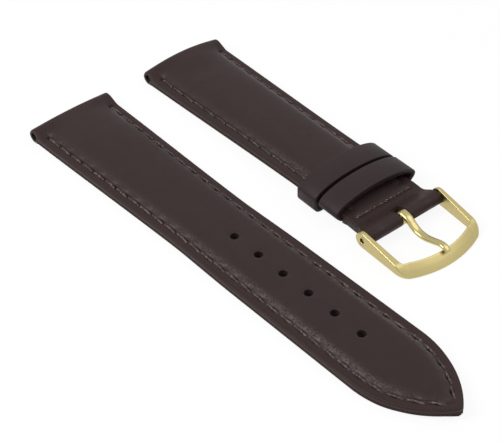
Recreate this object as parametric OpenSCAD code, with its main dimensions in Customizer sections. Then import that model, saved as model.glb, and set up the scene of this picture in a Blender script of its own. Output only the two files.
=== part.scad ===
// Two-piece padded leather watch strap with a pin buckle, a fixed keeper and a free keeper.
// The two pieces lie side by side: the long one with the holes, the short one with the buckle.
// Millimetres, +Z up, +X from the lug ends to the buckle and the tip.

/* [Leather] */
// Width at the lug end, which fits between the lugs of the watch
lug_w = 20; // [18:1:22]
// Width beyond the taper, which passes through the buckle
end_w = 17.6; // [15.6:0.2:17.8]
// Length of the long piece
long_len = 115; // [108:1:122]
// Length of the short piece, from its lug end to the middle of the buckle's bar
short_len = 73.2; // [71:0.2:80]
// Length of the taper from the lug end
taper_len = 50; // [40:1:50]
// Thickness of the upper leather
upper_t = 0.9; // [0.7:0.1:1.1]
// Thickness of the lining leather
lining_t = 1; // [0.8:0.1:1.2]
// Outer diameter of the rolled eye at the lug end
eye_d = 3; // [2.8:0.1:3.4]
// Bore of that eye, for the spring bar of the watch
eye_bore_d = 1.8; // [1.4:0.1:2]
// Height of the padded crown above the edge at the lug end
crown_lug = 2; // [1.4:0.1:2.4]
// Height of the crown at the end of the taper
crown_mid = 1.2; // [0.9:0.1:1.3]
// Height of the crown at the tip
crown_tip = 0.8; // [0.5:0.1:1.1]
// Length of the pointed tip
tip_len = 18; // [15:1:20]

/* [Holes and stitches] */
// Number of tongue holes
hole_n = 6; // [5:1:7]
// Distance between tongue holes
hole_pitch = 7; // [6:0.5:7.2]
// Distance of the first tongue hole from the lug end
hole_first = 55.6; // [52:0.2:57]
// Diameter of a tongue hole
hole_d = 1.8; // [1.6:0.1:2.2]
// Distance of the stitch row from the edge
stitch_in = 1.7; // [1.5:0.1:2]
// Distance from one stitch to the next
stitch_pitch = 3.7; // [3:0.1:4.2]
// Length of a stitch
stitch_len = 2.9; // [2:0.1:2.9]
// Thickness of the thread
thread_d = 0.45; // [0.3:0.05:0.5]

/* [Keepers] */
// Width of each keeper along the strap
keeper_len = 5.4; // [4.6:0.2:5.6]
// Thickness of the outer ply of a keeper
ply_out_t = 0.7; // [0.5:0.05:0.8]
// Thickness of the lining ply of a keeper
ply_in_t = 0.55; // [0.4:0.05:0.6]
// Outer height of the free keeper
keeper_h = 6.5; // [6.3:0.1:7]
// Room at each side between the strap and a keeper
keeper_room = 0.6; // [0.5:0.05:0.8]
// Distance from the spring bar back to the middle of the fixed keeper
keeper_back = 10.4; // [9.8:0.2:12]

/* [Spring bar] */
// Diameter of the tube
bar_d = 1.8; // [1.7:0.05:2]
// Wall of the tube
bar_wall = 0.28; // [0.25:0.01:0.3]
// Diameter of the pins' tips
tip_d = 0.8; // [0.7:0.05:0.85]
// Diameter of the spring's wire
wire_d = 0.2; // [0.15:0.01:0.22]
// Number of turns of the spring
spring_turns = 18; // [12:1:20]

/* [Buckle] */
// Room in the window between the strap and the two arms together
window_room = 0.8; // [0.6:0.1:1.4]
// Thickness of an arm
arm_t = 1.4; // [1.2:0.1:1.8]
// Height of an ear round the spring bar
ear_h = 3; // [2.8:0.1:3.4]
// Height of the front bar
front_h = 2.2; // [2:0.1:2.4]
// Breadth of the front bar
front_w = 2.1; // [1.8:0.1:2.6]
// Distance from the spring bar to the outer face of the front bar
buckle_reach = 14; // [13:0.2:15]
// Width of the tongue
tongue_w = 1.8; // [1.5:0.1:2]
// Thickness of the tongue
tongue_t = 1.1; // [0.9:0.05:1.2]

/* [Layout] */
// Distance between the middles of the two lug ends
pair_gap = 30.8; // [28:0.2:36]
// Turn of the long piece away from the short one, in degrees
lay_turn = 2.3; // [0:0.1:3]

/* [Hidden] */
$fn = 48;

// Clearances
over = 1;
glue_gap = 0.04;
run_play = 0.04;
seat_gap = 0.1;

// Leather
edge_t = upper_t + lining_t;
edge_round = 0.3;
eye_r = eye_d / 2;
eye_run = 3.6;
eye_angles = [15, 40, 65];
crown_run = 4.6;
body_run = 5;
crown_power = 4;
filler_edge_share = 0.985;
groove_w = 0.8;
groove_h = 0.3;
foot_gap = 0.1;
foot_in = stitch_in + thread_d / 2 + foot_gap;
ridge_w = 0.3;

// Tip of the long piece: two arcs that start along the edges and meet in a point
tip_x = long_len - tip_len;
tip_turn = 2 * atan(end_w / 2 / tip_len);
tip_r = tip_len / sin(tip_turn);
tip_blunt = 0.4;
tip_core = tip_r - end_w / 2;
crown_end_x = tip_x + sqrt(pow(tip_r - foot_in, 2) - tip_core * tip_core);
crown_end_run = 5;

// Short piece: it rises over the free keeper and sinks again towards the buckle
band_t = ply_out_t + ply_in_t;
keeper_gap = 0.8;
fixed_x = short_len - keeper_back;
free_x = fixed_x - keeper_len - keeper_gap;
fixed_rear_x = fixed_x - keeper_len / 2;
fixed_front_x = fixed_x + keeper_len / 2;
lift_slope = (band_t + seat_gap) / (free_x - eye_d);
lift_x = free_x + keeper_len / 2;
lift_top = lift_slope * (lift_x - eye_d);
lift_end = 0.8;
wall_run = 0.02;

// Loop for the spring bar
loop_r = bar_d / 2 + seat_gap / 2 + upper_t - 0.05;
loop_run = 4.2;
bar_z = lift_end + loop_r;
loop_bore_r = bar_d / 2 + seat_gap / 2;
loop_angles = [0, 28, 55, 78];
slot_w = tongue_w + 5 * seat_gap;
slot_back = 3.4;
seam_back = 5.1;
seam_x = short_len - seam_back;
seam_pitch = 2.4;
seam_n = 6;
seam_len = 2;

// Keeper outline
keeper_side = end_w / 2 + keeper_room + band_t;
keeper_mid = 3.3;
keeper_corner = 1.7;
keeper_tuck = 0.5;

// Spring bar
tube_len = end_w - 2 * seat_gap;
tube_in_r = bar_d / 2 - bar_wall;
neck_len = 0.5;
collar_len = 1.2;
collar_r = tube_in_r - run_play;
tip_r2 = tip_d / 2;
tip_out = arm_t - 3 * seat_gap;
pin_y = tube_len / 2 - neck_len;
pin_end = (end_w + window_room) / 2 + tip_out;
spring_len = 2 * (pin_y - collar_len);
spring_r = tube_in_r - wire_d / 2 - run_play;
spring_rings = 8;
wire_sides = 6;

// Buckle
window_w = end_w + window_room;
ear_bore_r = tip_r2 + run_play;
arm_mid = window_w / 2 + arm_t / 2;
bow_r = 21.6;
corner_r = 2.5;
front_mid = buckle_reach - front_w / 2;
bow_c = front_mid - bow_r;
corner_v = arm_mid - corner_r;
corner_u = bow_c + sqrt(pow(bow_r - corner_r, 2) - corner_v * corner_v);
corner_turn = atan2(corner_v, corner_u - bow_c);
buckle_droop = asin((bar_z - front_h / 2) / buckle_reach);
tongue_eye_r = bar_d / 2 + seat_gap / 2 + 0.5;
tongue_reach = buckle_reach - front_w / 2 - 0.2;
tongue_high = front_h / 2 + tongue_t / 2;
tongue_tip_share = 0.72;

// Layout: the origin lies under the middle of the whole pair
lay_shift = 0.95;
tip_half = sqrt(tip_r * tip_r - pow(tip_len - tip_blunt, 2)) - tip_core;
pair_x = (eye_r * (1 - cos(eye_angles[0])) + lay_shift + (long_len - tip_blunt) * cos(lay_turn)
    + tip_half * sin(lay_turn)) / 2;
pair_low = -pair_gap - lug_w / 2 * cos(lay_turn);
pair_high = max(keeper_side, window_w / 2 + arm_t);
pair_y = (pair_low + pair_high) / 2;

function ease(t) = let (c = min(1, max(0, t))) c * c * (3 - 2 * c);
function mix(a, b, t) = a + (b - a) * t;

// Half width of the strap at a distance x from the lug end, moved in from the edge by inset
function side_w(x) = let (t = min(1, x / taper_len)) mix(lug_w, end_w, 0.6 * t + 0.4 * ease(t)) / 2;
function arc_w(x, inset) = sqrt(pow(tip_r - inset, 2) - pow(x - tip_x, 2)) - tip_core;
function long_w(x) = x < tip_x ? side_w(x) : arc_w(x, 0);
function long_row(x) = x < tip_x ? side_w(x) - stitch_in : arc_w(x, stitch_in);
function short_row(x) = side_w(x) - stitch_in;

// Half width of the crown, whose foot lies just inside the stitches
function long_foot(x) = max(ridge_w, x < tip_x ? side_w(x) - foot_in : arc_w(x, foot_in));
function short_foot(x) = side_w(x) - foot_in;

// Height of the edge above the underside, of the underside of the upper leather, and of the crown
function eye_h(x) = sqrt(max(0, eye_r * eye_r - pow(x - eye_r, 2)));
function edge_z(x) = x < eye_r ? eye_r + eye_h(x) : mix(eye_d, edge_t, ease((x - eye_r) / eye_run));
function under_z(x) = x < eye_d ? min(x < eye_r ? eye_r : lining_t, eye_r - eye_h(x)) : lining_t;
function crown_in(x) = ease((x - eye_r) / crown_run);
function crown_out(x) = ease((crown_end_x - x) / crown_end_run);
function long_padded(x) = x > eye_d && long_foot(x) > foot_in;
function long_crown(x) = crown_in(x) * crown_out(x) * (x < taper_len ? mix(crown_lug, crown_mid, x / taper_len)
    : mix(crown_mid, crown_tip, (x - taper_len) / (long_len - taper_len)));
function short_crown(x) = crown_in(x) * mix(crown_lug, crown_mid, min(1, x / taper_len))
    * (1 - 0.45 * ease((x - free_x) / (fixed_x - free_x)) - 0.55 * ease((x - fixed_x) / (seam_x - fixed_x)));
function bulge(share) = pow(max(0, 1 - pow(abs(share), crown_power)), 0.5);

// Lift of the short piece above the ground
function lift(x) = x < eye_d ? 0
    : x < lift_x ? lift_slope * (x - eye_d)
    : mix(lift_top, lift_end, ease((x - lift_x) / (short_len - loop_run / 2 - lift_x)));
function flat(x) = 0;

// Shares of the row's half width at which a cross-section has its points
row_shares = [-1, -0.985, -0.94, -0.86, -0.74, -0.5, -0.2, 0.2, 0.5, 0.74, 0.86, 0.94, 0.985, 1];

// Stations along each piece
function steps(a, b, n) = [for (i = [0 : n]) mix(a, b, i / n)];
eye_xs = [for (a = eye_angles) eye_r * (1 - cos(a))];
long_xs = concat(eye_xs, steps(eye_r, eye_r + crown_run, 5), steps(eye_r + crown_run + body_run, tip_x, 8),
    [for (i = [1 : 9]) tip_x + (tip_len - tip_blunt) * sin(90 * i / 9)]);
short_xs = concat(eye_xs, steps(eye_r, eye_r + crown_run, 5), steps(eye_r + crown_run + body_run, free_x, 6),
    steps(free_x + keeper_len / 2, fixed_rear_x, 1));
keeper_xs = steps(fixed_rear_x + wall_run, fixed_front_x, 2);
fold_xs = concat(steps(fixed_front_x + wall_run, short_len - loop_run, 3),
    steps(short_len - loop_run * 0.8, short_len - loop_run * 0.2, 3),
    [for (a = loop_angles) short_len + loop_r * sin(a)]);

// Solid through a list of cross-sections that all have the same number of points. A blunt end
// has many points in line, so it is closed by a fan from one corner.
function fan(n, base, turn) = [for (j = [2 : n - 1]) let (k = (j + 1) % n)
    [base + 1, base + (turn ? k : j), base + (turn ? j : k)]];
module loft(rings, blunt_first = false, blunt_last = false) {
    n = len(rings[0]);
    m = len(rings);
    sides = [for (i = [0 : m - 2], j = [0 : n - 1]) let (a = i * n + j, b = i * n + (j + 1) % n)
        each [[a, a + n, b + n], [a, b + n, b]]];
    first = blunt_first ? fan(n, 0, false) : [[for (j = [0 : n - 1]) j]];
    last = blunt_last ? fan(n, (m - 1) * n, true) : [[for (j = [n - 1 : -1 : 0]) (m - 1) * n + j]];
    polyhedron([for (ring = rings) each ring], concat(sides, first, last));
}

// Places of the two pieces
module lay_short() {
    translate([-pair_x, -pair_y, 0]) children();
}

module lay_long() {
    translate([lay_shift - pair_x, -pair_gap - pair_y, 0]) rotate([0, 0, lay_turn]) children();
}

// Straight round bar across the strap
module across(r, length) {
    rotate([90, 0, 0]) cylinder(r = r, h = length, center = true);
}

// Cross-section of the upper leather: over the crown and back along its underside
function upper_ring(x, half, r, top, crown, low, under) = let (e = min(edge_round, half / 6))
    concat(
        [[x, -half, low], [x, -half, top - e], [x, -half + e, top]],
        [for (s = row_shares) [x, s * r, top + crown * bulge(s)]],
        [[x, half - e, top], [x, half, top - e], [x, half, low]],
        [for (i = [len(row_shares) - 1 : -1 : 0]) let (s = row_shares[i]) [x, s * r, low + under * bulge(s)]]);

// Cross-section of the padding, feathered at its sides
function filler_ring(x, foot, crown, z) = let (r = foot * filler_edge_share, low = lining_t + z)
    concat([[x, -r, low]],
        [for (s = row_shares) [x, s * r, low + crown * bulge(s * filler_edge_share) - glue_gap]],
        [[x, r, low]]);

// Cross-section of the lining, with a groove under each stitch row
function lining_ring(x, half, row, z) = let (
    g = min(groove_w / 2, half / 5), r = max(row, 1.5 * g), e = min(edge_round, half / 6))
    [[x, -half, lining_t + z], [x, half, lining_t + z], [x, half, e + z], [x, half - e, z],
        [x, r + g, z], [x, r + g, groove_h + z], [x, r - g, groove_h + z], [x, r - g, z],
        [x, g - r, z], [x, g - r, groove_h + z], [x, -r - g, groove_h + z], [x, -r - g, z],
        [x, e - half, z], [x, -half, e + z]];

module eye_bore() {
    translate([eye_r, 0, eye_r]) across(eye_bore_d / 2, lug_w + 2 * over);
}

// Holes for the buckle's tongue, through every layer
module tongue_holes() {
    for (i = [0 : hole_n - 1])
        translate([hole_first + i * hole_pitch, 0, -over])
            cylinder(d = hole_d, h = edge_t + crown_lug + 2 * over);
}

// One stitch, a thread with rounded ends and a flat underside, along X
module stitch(length) {
    r = thread_d / 2;
    rotate([90, 0, 90]) rotate_extrude(angle = 180) intersection() {
        union() {
            for (end = [-1, 1]) translate([0, end * (length / 2 - r)]) circle(r);
            square([thread_d, length - thread_d], center = true);
        }
        translate([0, -length / 2]) square([r, length]);
    }
}

// A stitch between two points of its row
module stitch_along(a, b, under) {
    d = b - a;
    translate((a + b) / 2) rotate([0, -asin(d.z / norm(d)), atan2(d.y, d.x)])
        rotate([under ? 180 : 0, 0, 0]) stitch(stitch_len);
}

// Point of the stitch row at a distance s along it, counted from the lug end
row_start = 4.8;
row_tip_turn = acos((tip_core + 0.75 * groove_w) / (tip_r - stitch_in));
row_end = tip_x + (tip_r - stitch_in) * row_tip_turn * PI / 180;
function long_row_at(s, side, z) = let (a = (s - tip_x) / (tip_r - stitch_in) * 180 / PI)
    s < tip_x ? [s, side * (side_w(s) - stitch_in), z]
    : [tip_x + (tip_r - stitch_in) * sin(a),
        side * ((tip_r - stitch_in) * cos(a) - tip_core), z];
function short_row_at(s, side, z) = [s, side * short_row(s), z + lift(s)];

module long_row_stitches(z, under) {
    n = floor((row_end - row_start) / stitch_pitch);
    pitch = (row_end - row_start) / n;
    half = stitch_len / 2;
    for (side = [-1, 1], i = [0 : n - 1]) let (s = row_start + (i + 0.5) * pitch)
        stitch_along(long_row_at(s - half, side, z), long_row_at(s + half, side, z), under);
}

module short_row_stitches(z, under) {
    n = floor((free_x - row_start) / stitch_pitch);
    half = stitch_len / 2;
    for (side = [-1, 1], i = [0 : n - 1]) let (s = row_start + (i + 0.5) * stitch_pitch)
        stitch_along(short_row_at(s - half, side, z), short_row_at(s + half, side, z), under);
}

module long_upper() {
    color([0.26, 0.2, 0.19]) lay_long() difference() {
        loft([for (x = long_xs) upper_ring(x, long_w(x), long_foot(x), edge_z(x), long_crown(x),
            under_z(x), long_padded(x) ? long_crown(x) : 0)], blunt_first = true, blunt_last = true);
        eye_bore();
        tongue_holes();
    }
}

module long_filler() {
    xs = [for (x = long_xs) if (long_padded(x)) x];
    color([0.62, 0.52, 0.4]) lay_long() difference() {
        loft([for (x = xs) filler_ring(x, long_foot(x), long_crown(x), 0)]);
        tongue_holes();
    }
}

module long_lining() {
    xs = [for (x = long_xs) if (x > eye_d) x];
    color([0.5, 0.36, 0.25]) lay_long() difference() {
        loft([for (x = xs) lining_ring(x, long_w(x), long_row(x), 0)]);
        tongue_holes();
    }
}

module long_needle_thread() {
    color([0.36, 0.28, 0.25]) lay_long() long_row_stitches(edge_t, false);
}

module long_bobbin_thread() {
    color([0.36, 0.28, 0.25]) lay_long() long_row_stitches(groove_h, true);
}

// Cross-sections of the short upper: over the padding, over the fixed keeper's lower run, and
// folded, where both runs lie on each other and go round the spring bar
function fold_h(x) = x < short_len ? loop_r : sqrt(loop_r * loop_r - pow(x - short_len, 2));
function fold_top(x) = mix(edge_t, 2 * loop_r, ease((x - short_len + loop_run) / loop_run)) + lift(x);
function padded_ring(x) = upper_ring(x, side_w(x), short_foot(x), edge_z(x) + lift(x), short_crown(x),
    under_z(x) + lift(x), x > eye_d ? short_crown(x) : 0);
function keeper_ring(x) = upper_ring(x, side_w(x), short_foot(x), edge_z(x) + lift(x), short_crown(x),
    lift(fixed_x) + band_t, 0);
function fold_ring(x) = upper_ring(x, side_w(x), short_foot(x),
    x < short_len ? fold_top(x) : bar_z + fold_h(x), short_crown(x),
    x < short_len ? lift(x) : bar_z - fold_h(x), 0);

module short_upper() {
    color([0.26, 0.2, 0.19]) lay_short() difference() {
        loft(concat([for (x = short_xs) padded_ring(x)], [for (x = keeper_xs) keeper_ring(x)],
            [for (x = fold_xs) fold_ring(x)]), blunt_first = true, blunt_last = true);
        eye_bore();
        translate([short_len, 0, bar_z]) across(loop_bore_r, end_w + 2 * over);
        translate([short_len - slot_back, -slot_w / 2, -over])
            cube([slot_back + loop_r + over, slot_w, bar_z + loop_r + 2 * over]);
    }
}

module short_filler() {
    xs = [for (x = short_xs) if (x > eye_d) x];
    color([0.62, 0.52, 0.4]) lay_short()
        loft([for (x = xs) filler_ring(x, short_foot(x), short_crown(x), lift(x))]);
}

module short_lining() {
    xs = [for (x = short_xs) if (x > eye_d) x];
    color([0.5, 0.36, 0.25]) lay_short()
        loft([for (x = xs) lining_ring(x, side_w(x), short_row(x), lift(x))]);
}

module short_needle_thread() {
    color([0.36, 0.28, 0.25]) lay_short() short_row_stitches(edge_t, false);
}

module short_bobbin_thread() {
    color([0.36, 0.28, 0.25]) lay_short() short_row_stitches(groove_h, true);
}

module cross_seam_thread() {
    top = fold_top(seam_x);
    color([0.55, 0.36, 0.25]) lay_short()
        for (i = [0 : seam_n - 1]) let (y = (i - (seam_n - 1) / 2) * seam_pitch)
            translate([seam_x, y, top]) rotate([0, 0, 90]) stitch(seam_len);
}

// Outline of a keeper across the strap, moved in from its outer face by inset
module keeper_outline(inset, low, top, corner) {
    half = keeper_side - inset;
    rise = top - keeper_mid - inset;
    hull() {
        translate([0, keeper_mid]) scale([1, rise / half]) circle(half);
        for (side = [-1, 1])
            translate([side * (keeper_side - keeper_corner - corner), low + keeper_corner])
                circle(keeper_corner - inset);
    }
}

// One ply of a keeper, between two insets
module keeper_ply(x, from, to, low, top, corner) {
    translate([x - keeper_len / 2, 0, 0]) rotate([90, 0, 90]) linear_extrude(keeper_len)
        difference() {
            keeper_outline(from, low, top, corner);
            keeper_outline(to, low, top, corner);
        }
}

module fixed_keeper_outer() {
    color([0.25, 0.2, 0.19]) lay_short()
        keeper_ply(fixed_x, 0, ply_out_t, lift(fixed_x), keeper_h, keeper_tuck);
}

module fixed_keeper_lining() {
    color([0.22, 0.17, 0.16]) lay_short()
        keeper_ply(fixed_x, ply_out_t, band_t, lift(fixed_x), keeper_h, keeper_tuck);
}

module free_keeper_outer() {
    color([0.25, 0.2, 0.19]) lay_short() keeper_ply(free_x, 0, ply_out_t, 0, keeper_h, 0);
}

module free_keeper_lining() {
    color([0.22, 0.17, 0.16]) lay_short() keeper_ply(free_x, ply_out_t, band_t, 0, keeper_h, 0);
}

// Everything on the spring bar is drawn round it
module at_bar() {
    lay_short() translate([short_len, 0, bar_z]) children();
}

module spring_bar_tube() {
    color([0.75, 0.74, 0.7]) at_bar() difference() {
        across(bar_d / 2, tube_len);
        across(tube_in_r, tube_len - 2 * neck_len);
        across(tip_r2 + run_play, tube_len + 2 * over);
    }
}

// One pin, on the +Y side: a collar inside the tube and a tip out of it
module bar_pin() {
    rotate([-90, 0, 0]) union() {
        translate([0, 0, pin_y - collar_len]) cylinder(r = collar_r, h = collar_len);
        translate([0, 0, pin_y - over / 2]) cylinder(r = tip_r2, h = pin_end - pin_y + over / 2);
    }
}

module spring_bar_pin_left() {
    color([0.8, 0.79, 0.75]) at_bar() mirror([0, 1, 0]) bar_pin();
}

module spring_bar_pin_right() {
    color([0.8, 0.79, 0.75]) at_bar() bar_pin();
}

// Spring between the two collars, one wire wound by a formula
spring_pitch = (spring_len - wire_d) / spring_turns;
echo(spring_least_gap = spring_pitch - wire_d);
function wire_at(a) = [spring_r * cos(a), -spring_len / 2 + wire_d / 2 + spring_pitch * a / 360,
    spring_r * sin(a)];
function wire_ring(a) = [for (k = [0 : wire_sides - 1]) let (b = -360 * k / wire_sides, r = wire_d / 2)
    wire_at(a) + [r * cos(b) * cos(a), r * sin(b), r * cos(b) * sin(a)]];

module spring_bar_spring() {
    color([0.6, 0.6, 0.6]) at_bar()
        loft([for (i = [0 : spring_turns * spring_rings]) wire_ring(i * 360 / spring_rings)]);
}

// Buckle frame in its own plane: u runs forward from the spring bar, v across
bow_steps = 10;
corner_steps = 6;
function frame_half() = concat(
    [for (u = steps(0, corner_u, 4)) [u, arm_mid, 90]],
    [for (i = [1 : corner_steps]) let (a = mix(90, corner_turn, i / corner_steps))
        [corner_u + corner_r * cos(a), corner_v + corner_r * sin(a), a]],
    [for (i = [1 : bow_steps / 2]) let (a = mix(corner_turn, 0, 2 * i / bow_steps))
        [bow_c + bow_r * cos(a), bow_r * sin(a), a]]);
frame_path = let (half = frame_half(), n = len(half))
    concat(half, [for (i = [n - 2 : -1 : 0]) [half[i].x, -half[i].y, -half[i].z]]);

// Cross-section of the frame where its outward direction has the angle a
function frame_ring(p) = let (front = 1 - ease((abs(p.z) - corner_turn) / (90 - corner_turn)),
    w = mix(arm_t, front_w, front) / 2, h = mix(mix(ear_h, front_h, min(1, p.x / corner_u)), front_h, front) / 2,
    drop = mix(0.5, 1.3, front), e = edge_round)
    [for (q = [[-w, e - h], [e - w, -h], [w - e, -h], [w, e - h], [w, h - drop], [w * 0.55, h - drop * 0.3],
        [0, h], [e - w, h], [-w, h - e]])
        [p.x + q.x * cos(p.z), p.y + q.x * sin(p.z), q.y]];

module ear_bores() {
    across(ear_bore_r, window_w + 2 * arm_t + 2 * over);
}

module buckle_frame() {
    color([0.8, 0.68, 0.33]) at_bar() rotate([0, buckle_droop, 0]) difference() {
        union() {
            loft([for (p = frame_path) frame_ring(p)]);
            for (side = [-1, 1]) translate([0, side * arm_mid, 0]) across(ear_h / 2, arm_t);
        }
        ear_bores();
    }
}

// Middle line of the tongue, as shares of its reach and of the height at which it crosses the front bar
tongue_shares = [[0, 0.75], [0.12, 0.68], [0.25, 0.18], [0.38, -0.1], [0.53, 0], [0.68, 0.45],
    [0.83, 0.92], [0.94, 1.04], [1, 0.98]];
function spline(p, i, t) = let (a = p[max(0, i - 1)], b = p[i], c = p[i + 1], d = p[min(len(p) - 1, i + 2)])
    (2 * b + (c - a) * t + (2 * a - 5 * b + 4 * c - d) * t * t + (3 * b - a - 3 * c + d) * t * t * t) / 2;
tongue_steps = 3;
tongue_path = [for (i = [0 : len(tongue_shares) - 2], k = [0 : tongue_steps - (i < len(tongue_shares) - 2 ? 1 : 0)])
    let (q = spline(tongue_shares, i, k / tongue_steps)) [q.x * tongue_reach, 0, q.y * tongue_high]];
tongue_sides = 12;
function tongue_ring(i) = let (n = len(tongue_path), p = tongue_path[i],
    d = tongue_path[min(n - 1, i + 1)] - tongue_path[max(0, i - 1)], a = atan2(d.z, d.x),
    s = mix(1, tongue_tip_share, ease(i / (n - 1))))
    [for (k = [0 : tongue_sides - 1]) let (b = 360 * k / tongue_sides,
        y = s * tongue_w / 2 * cos(b), w = s * tongue_t / 2 * sin(b)) p + [-w * sin(a), y, w * cos(a)]];

module buckle_tongue() {
    color([0.84, 0.73, 0.4]) at_bar() rotate([0, buckle_droop, 0]) difference() {
        union() {
            loft([for (i = [0 : len(tongue_path) - 1]) tongue_ring(i)]);
            across(tongue_eye_r, tongue_w);
        }
        across(loop_bore_r, tongue_w + 2 * over);
    }
}

long_upper();
long_filler();
long_lining();
long_needle_thread();
long_bobbin_thread();
short_upper();
short_filler();
short_lining();
short_needle_thread();
short_bobbin_thread();
cross_seam_thread();
fixed_keeper_outer();
fixed_keeper_lining();
free_keeper_outer();
free_keeper_lining();
spring_bar_tube();
spring_bar_pin_left();
spring_bar_pin_right();
spring_bar_spring();
buckle_frame();
buckle_tongue();
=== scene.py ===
import math
from functools import partial

import bmesh
import bpy
from mathutils import Matrix, Vector


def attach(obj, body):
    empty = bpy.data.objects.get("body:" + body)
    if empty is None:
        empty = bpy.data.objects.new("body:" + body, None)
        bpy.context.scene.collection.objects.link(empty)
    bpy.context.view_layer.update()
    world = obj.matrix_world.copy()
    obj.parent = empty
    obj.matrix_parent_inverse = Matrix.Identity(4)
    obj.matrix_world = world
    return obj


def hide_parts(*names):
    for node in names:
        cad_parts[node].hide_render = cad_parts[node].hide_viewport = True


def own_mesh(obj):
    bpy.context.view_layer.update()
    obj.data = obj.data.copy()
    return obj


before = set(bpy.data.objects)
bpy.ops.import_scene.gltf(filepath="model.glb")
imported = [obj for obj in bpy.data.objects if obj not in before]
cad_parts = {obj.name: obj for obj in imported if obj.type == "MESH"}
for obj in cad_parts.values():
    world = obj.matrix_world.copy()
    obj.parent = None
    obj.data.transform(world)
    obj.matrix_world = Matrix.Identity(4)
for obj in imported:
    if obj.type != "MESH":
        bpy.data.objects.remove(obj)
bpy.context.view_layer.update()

# The view
# The pair lies on a white table under soft studio light, and the camera looks down on it
# from the lug ends' near corner, with a lens of about 100 mm.
MM = 0.001
camera_azimuth, camera_elevation, camera_roll = 52.603, 41.54, -2.0
camera_distance = 277.581
camera_target = Vector((-5.13, -6.68, 0.0))
camera_focal_px, photo_width_px = 1399.331, 500

scene = bpy.context.scene
scene.view_settings.view_transform = "Standard"


def shown(name, data):
    """The mesh, lamp or camera as an object of the scene."""
    thing = bpy.data.objects.new(name, data)
    scene.collection.objects.link(thing)
    return thing


az, el = math.radians(camera_azimuth), math.radians(camera_elevation)
back = Vector((math.sin(az) * math.cos(el), -math.cos(az) * math.cos(el), math.sin(el)))
right = Vector((math.cos(az), math.sin(az), 0.0))
up = back.cross(right)
roll = math.radians(camera_roll)
rolled_right = right * math.cos(roll) + up * math.sin(roll)
rolled_up = up * math.cos(roll) - right * math.sin(roll)
lens_data = bpy.data.cameras.new("camera")
lens_data.sensor_width = 36.0
lens_data.lens = lens_data.sensor_width * camera_focal_px / photo_width_px
lens_data.clip_start = 0.01
camera = shown("camera", lens_data)
turn = Matrix((rolled_right, rolled_up, back)).transposed().to_4x4()
camera.matrix_world = Matrix.Translation((camera_target + back * camera_distance) * MM) @ turn
scene.camera = camera


def wire(tree, node, inputs):
    """Gives each of the node's inputs its value, or the output that feeds it."""
    for key, value in inputs.items():
        if isinstance(value, bpy.types.NodeSocket):
            tree.links.new(value, node.inputs[key])
        else:
            node.inputs[key].default_value = value
    return node


def add_node(tree, kind, inputs, **settings):
    node = tree.nodes.new(kind)
    for key, value in settings.items():
        setattr(node, key, value)
    return wire(tree, node, inputs)


def calc(tree, operation, a, b=None, clamp=False):
    """One step of arithmetic on values or outputs."""
    inputs = {0: a} if b is None else {0: a, 1: b}
    node = add_node(tree, "ShaderNodeMath", inputs, operation=operation, use_clamp=clamp)
    return node.outputs["Value"]


def node_material(name):
    """A node material with its shader, and the place on the piece for its patterns to read."""
    mat = bpy.data.materials.new(name)
    mat.use_nodes = True
    tree = mat.node_tree
    tree.nodes.clear()
    out = tree.nodes.new("ShaderNodeOutputMaterial")
    shader = tree.nodes.new("ShaderNodeBsdfPrincipled")
    wire(tree, out, {"Surface": shader.outputs["BSDF"]})
    return mat, tree, shader, tree.nodes.new("ShaderNodeTexCoord").outputs["Object"]


def seen_white(tree, share, lit, white):
    """The lit surface, but for this share of what camera, glossy and clear rays meet, the white."""
    path = tree.nodes.new("ShaderNodeLightPath").outputs
    straight = calc(tree, "MAXIMUM", path["Is Camera Ray"], path["Is Glossy Ray"])
    straight = calc(tree, "MAXIMUM", straight, path["Is Transmission Ray"])
    fac = calc(tree, "MULTIPLY", straight, share)
    return add_node(tree, "ShaderNodeMixShader", {"Fac": fac, 1: lit, 2: white}).outputs["Shader"]


world = bpy.data.worlds.new("studio")
world.use_nodes = True
sky = world.node_tree
sky.nodes.clear()
seen_light = add_node(sky, "ShaderNodeBackground", {"Strength": 1.0}).outputs["Background"]
room_light = add_node(sky, "ShaderNodeBackground", {"Strength": 0.5}).outputs["Background"]
add_node(sky, "ShaderNodeOutputWorld", {"Surface": seen_white(sky, 1.0, room_light, seen_light)})
scene.world = world

table_half = 1.2
table_corners = [(x * table_half, y * table_half, 0) for x, y in ((-1, -1), (1, -1), (1, 1), (-1, 1))]
table_mesh = bpy.data.meshes.new("table")
table_mesh.from_pydata(table_corners, [], [(0, 1, 2, 3)])
table = shown("table", table_mesh)
table_mat, tree, shader, _ = node_material("white_table")
wire(tree, shader, {"Base Color": (0.9, 0.9, 0.9, 1.0), "Roughness": 0.9, "Specular IOR Level": 0.1})
glow = add_node(tree, "ShaderNodeEmission", {"Strength": 1.03}).outputs["Emission"]
wire(tree, tree.nodes["Material Output"],
     {"Surface": seen_white(tree, 0.88, shader.outputs["BSDF"], glow)})
table_mesh.materials.append(table_mat)


def area_lamp(name, place, size, power):
    """A square studio lamp that points at the middle of the pair."""
    data = bpy.data.lights.new(name, "AREA")
    data.size = size
    data.energy = power
    lamp = shown(name, data)
    lamp.location = place
    lamp.rotation_euler = (-Vector(place)).to_track_quat("-Z", "Y").to_euler()


area_lamp("key_lamp", (-0.15, -0.45, 0.5), 0.35, 2.4)
area_lamp("back_lamp", (0.25, 0.35, 0.6), 0.5, 0.9)

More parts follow.
